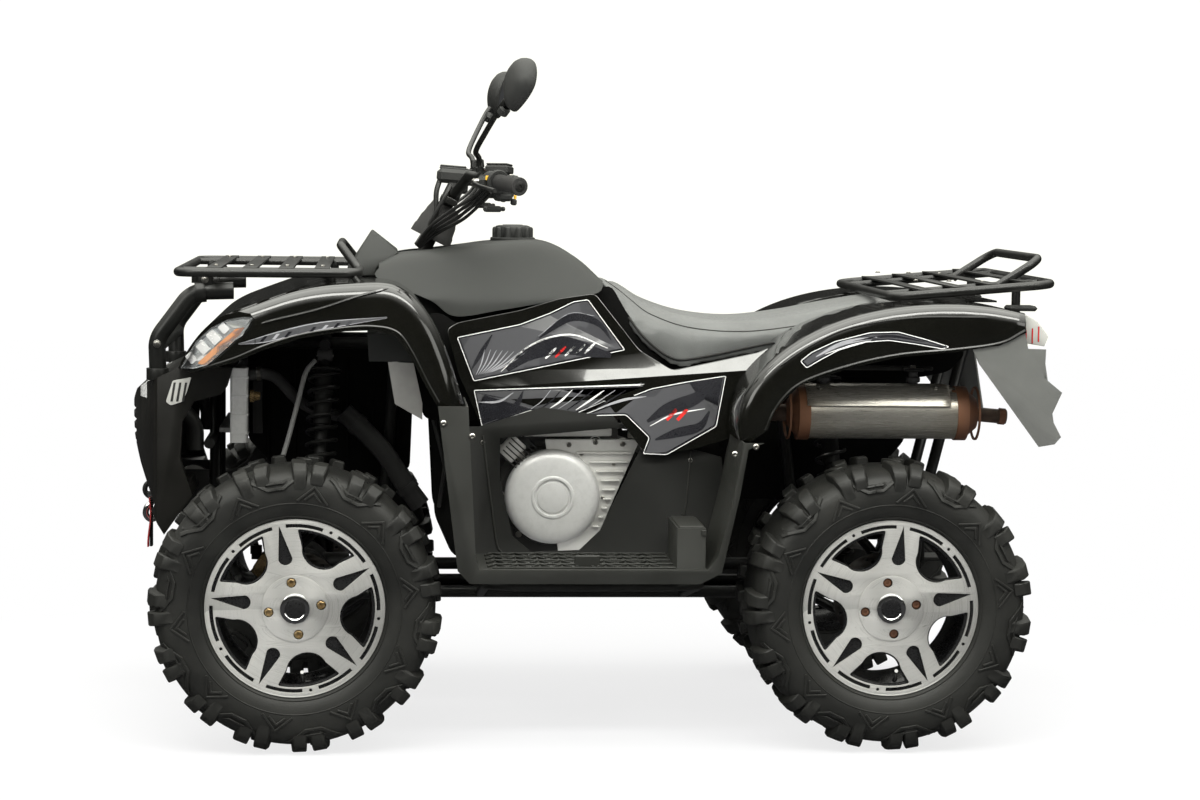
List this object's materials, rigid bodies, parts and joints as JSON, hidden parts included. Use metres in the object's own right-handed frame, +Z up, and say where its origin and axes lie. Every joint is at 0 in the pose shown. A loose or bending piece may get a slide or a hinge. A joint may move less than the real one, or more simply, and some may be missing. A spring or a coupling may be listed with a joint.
{
  "type": "utility quad bike",
  "caption": "Utility quad bike with knobbly tyres, coupled handlebar steering, front and rear racks, bull bar, winch, long seat and deep footwells.",
  "frame": {"origin": "on the ground, in the centre plane, midway between the axles, which is the centre of the bounding box's base within the claim's tolerance", "axes": "forward is -X, the vehicle's left is -Y, up is +Z"},
  "size_m": [2.07, 1.17, 1.5036],
  "materials": {
    "tyre": "matte black rubber",
    "machined_alloy": "machined faces, black recesses",
    "disc_steel": "ground",
    "cast_black": "black, rough",
    "black_steel": "black, semi-gloss",
    "grip_rubber": "matte",
    "matte_plastic": "fine grained, matte",
    "gloss_plastic": null,
    "cast_alloy": "as cast",
    "cover_alloy": "satin silver",
    "muffler_steel": "brushed, darkened end bands",
    "seat_cover": "grained vinyl, matte",
    "lamp_lens": "clear lens",
    "red_lens": "red and clear lens",
    "flap_plastic": "light grey, matte"
  },
  "bodies": {
    "chassis": {"frame": "black_steel", "engine": "cast_alloy", "clutch_cover": "cover_alloy", "radiator": "cover_alloy", "drive_line": "cast_black", "front_arms": "black_steel", "rear_arms": "black_steel", "shocks": "black_steel", "exhaust": "muffler_steel", "tank_cover": "matte_plastic", "fuel_cap": "matte_plastic", "cowl": "matte_plastic", "side_panels": "gloss_plastic", "seat": "seat_cover", "front_fenders": "gloss_plastic", "rear_fenders": "gloss_plastic", "inner_guards": "matte_plastic", "front_bumper": "matte_plastic", "bull_bar": "black_steel", "front_lamps": "lamp_lens", "winch": "cast_black", "footwell_left": "matte_plastic", "footwell_right": "matte_plastic", "foot_tubes": "black_steel", "front_rack": "black_steel", "rear_rack": "black_steel", "mud_flaps": "flap_plastic", "tail_lamps": "red_lens", "tow_hitch": "black_steel"},
    "steering": {"steering_column": "black_steel", "handlebar": "black_steel", "grips": "grip_rubber", "controls": "matte_plastic", "instrument_pod": "matte_plastic", "mirrors": "matte_plastic"},
    "knuckle_left": {"knuckle_left": "cast_black"},
    "knuckle_right": {"knuckle_right": "cast_black"},
    "tie_rod_left": {"tie_rod_left": "black_steel"},
    "tie_rod_right": {"tie_rod_right": "black_steel"},
    "wheel_front_left": {"tyre_front_left": "tyre", "rim_front_left": "machined_alloy", "brake_disc_front_left": "disc_steel"},
    "wheel_front_right": {"tyre_front_right": "tyre", "rim_front_right": "machined_alloy", "brake_disc_front_right": "disc_steel"},
    "wheel_rear_left": {"tyre_rear_left": "tyre", "rim_rear_left": "machined_alloy", "brake_disc_rear_left": "disc_steel"},
    "wheel_rear_right": {"tyre_rear_right": "tyre", "rim_rear_right": "machined_alloy", "brake_disc_rear_right": "disc_steel"}
  },
  "joints": [
    {"name": "steer", "type": "hinge", "parent": "chassis", "child": "steering", "pos_m": [-0.3, 0, 1.204], "axis": [0.4384, 0, 0.8988], "range_deg": [-38, 38]},
    {"name": "knuckle_left_turn", "type": "hinge", "parent": "chassis", "child": "knuckle_left", "pos_m": [-0.645, -0.4, 0.318], "axis": [0, 0, 1], "range_deg": [-30.5, 30.5]},
    {"name": "knuckle_right_turn", "type": "hinge", "parent": "chassis", "child": "knuckle_right", "pos_m": [-0.645, 0.4, 0.318], "axis": [0, 0, 1], "range_deg": [-30.5, 30.5]},
    {"name": "tie_rod_left_swing", "type": "hinge", "parent": "knuckle_left", "child": "tie_rod_left", "pos_m": [-0.735, -0.388, 0.423], "axis": [0, 0, 1], "range_deg": [-31.5, 31.5]},
    {"name": "tie_rod_right_swing", "type": "hinge", "parent": "knuckle_right", "child": "tie_rod_right", "pos_m": [-0.735, 0.388, 0.423], "axis": [0, 0, 1], "range_deg": [-31.5, 31.5]},
    {"name": "wheel_front_left_spin", "type": "hinge", "parent": "knuckle_left", "child": "wheel_front_left", "pos_m": [-0.645, -0.4705, 0.318], "axis": [0, 1, 0], "continuous": true},
    {"name": "wheel_front_right_spin", "type": "hinge", "parent": "knuckle_right", "child": "wheel_front_right", "pos_m": [-0.645, 0.4705, 0.318], "axis": [0, 1, 0], "continuous": true},
    {"name": "wheel_rear_left_spin", "type": "hinge", "parent": "chassis", "child": "wheel_rear_left", "pos_m": [0.645, -0.4475, 0.318], "axis": [0, 1, 0], "continuous": true},
    {"name": "wheel_rear_right_spin", "type": "hinge", "parent": "chassis", "child": "wheel_rear_right", "pos_m": [0.645, 0.4475, 0.318], "axis": [0, 1, 0], "continuous": true}
  ],
  "couplings": [
    {"joint": "knuckle_left_turn", "follows": "steer", "ratio": 0.8},
    {"joint": "knuckle_right_turn", "follows": "steer", "ratio": 0.8},
    {"joint": "tie_rod_left_swing", "follows": "steer", "ratio": -0.824},
    {"joint": "tie_rod_right_swing", "follows": "steer", "ratio": -0.824}
  ]
}
